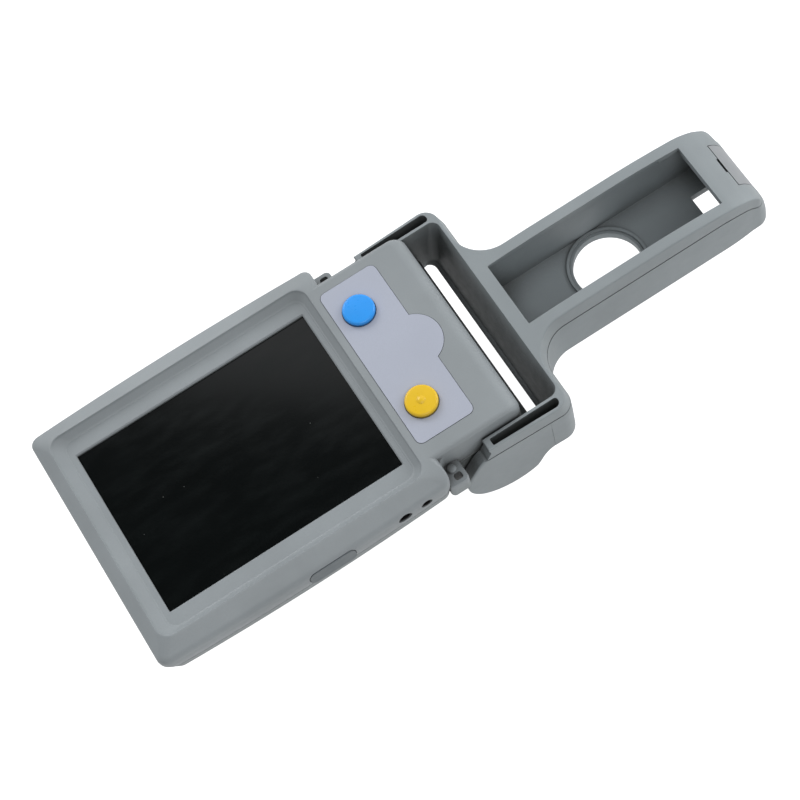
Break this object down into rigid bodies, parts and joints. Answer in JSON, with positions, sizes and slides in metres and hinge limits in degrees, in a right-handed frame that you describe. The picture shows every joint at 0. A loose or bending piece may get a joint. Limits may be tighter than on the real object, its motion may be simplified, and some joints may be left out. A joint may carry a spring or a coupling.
{
  "type": "folding-handle electronic viewer",
  "caption": "Handheld electronic viewer: a flat screen body with round keys on its neck, joined by a forked window handle that folds flat under it.",
  "frame": {"origin": "on the flat back face of the screen body, straight under the centre of the screen", "axes": "+X from the screen towards the handle's end, +Y across towards the blue button, +Z out of the screen"},
  "size_m": [0.2026, 0.0756, 0.0379],
  "materials": {
    "shell_front": "fine satin grain, cool grey with a green-blue cast",
    "shell_rear": "fine satin grain, cool grey",
    "handle_shell": "fine satin grain, cool grey",
    "tab_plastic": "satin, slightly paler grey",
    "screen_glass": "glossy, near black with the screen off",
    "screen_core": "dark liquid crystal stack",
    "lcd_metal": "pressed steel frame",
    "label_plate": "smooth satin plate, pale blue-grey",
    "blue_plastic": "satin bright blue",
    "yellow_plastic": "satin warm yellow",
    "dark_button": "satin darker grey",
    "silicone": "milky silicone",
    "board_green": "solder mask",
    "chip_black": "moulded epoxy",
    "ribbon_film": "amber film",
    "battery_wrap": "pouch foil",
    "foam": "closed-cell foam",
    "lens_black": "matt black",
    "lens_glass": "coated lens",
    "clear_window": "clear window",
    "lamp_clear": "clear lamp resin",
    "jack_black": "black socket",
    "connector_ivory": "ivory nylon",
    "steel": "plain steel",
    "screw_black": "blackened steel",
    "bush_brass": "turned brass"
  },
  "bodies": {
    "screen_body": {"front_housing": "shell_front", "rear_housing": "shell_rear", "screen_window": "screen_glass", "lcd_panel": "screen_core", "lcd_frame": "lcd_metal", "button_plate": "label_plate", "blue_dome": "silicone", "yellow_dome": "silicone", "key_board": "board_green", "key_ribbon": "ribbon_film", "main_board": "board_green", "board_chips": "chip_black", "lcd_ribbon": "ribbon_film", "battery_pack": "battery_wrap", "battery_pad": "foam", "camera_board": "board_green", "camera_barrel": "lens_black", "camera_lens": "lens_glass", "camera_window": "clear_window", "lamps": "lamp_clear", "board_connector": "connector_ivory", "charge_jack": "jack_black", "video_jack": "jack_black", "power_switch": "chip_black", "housing_screws": "screw_black", "hinge_bushes": "bush_brass", "friction_washers": "bush_brass"},
    "blue_button": {"blue_button": "blue_plastic"},
    "yellow_button": {"yellow_button": "yellow_plastic"},
    "power_button": {"power_button": "dark_button"},
    "handle": {"handle_front_shell": "handle_shell", "handle_rear_shell": "handle_shell", "hinge_pins": "steel", "pin_clips": "steel", "handle_screws": "screw_black", "release_spring": "steel"},
    "release_tab": {"release_tab": "tab_plastic"}
  },
  "joints": [
    {"name": "handle_fold", "type": "hinge", "parent": "screen_body", "child": "handle", "pos_m": [0.0603, 0, -0.0043], "axis": [0, 1, 0], "range_deg": [0, 180]},
    {"name": "blue_button_press", "type": "slide", "parent": "screen_body", "child": "blue_button", "axis": [0, 0, -1], "range_m": [0, 0.0009], "stiffness_N_per_m": 600, "springref_m": -0.0005, "deforming": ["blue_dome"]},
    {"name": "yellow_button_press", "type": "slide", "parent": "screen_body", "child": "yellow_button", "axis": [0, 0, -1], "range_m": [0, 0.0009], "stiffness_N_per_m": 600, "springref_m": -0.0005, "deforming": ["yellow_dome"]},
    {"name": "power_button_press", "type": "slide", "parent": "screen_body", "child": "power_button", "axis": [0, 1, 0], "range_m": [0, 0.0005], "stiffness_N_per_m": 800, "springref_m": -0.0003},
    {"name": "release_tab_rock", "type": "hinge", "parent": "handle", "child": "release_tab", "pos_m": [0.1534, 0, 0.007], "axis": [0, -1, 0], "range_deg": [0, 2.4], "stiffness_Nm_per_rad": 0.2, "springref_deg": -1.15, "deforming": ["release_spring"]}
  ]
}
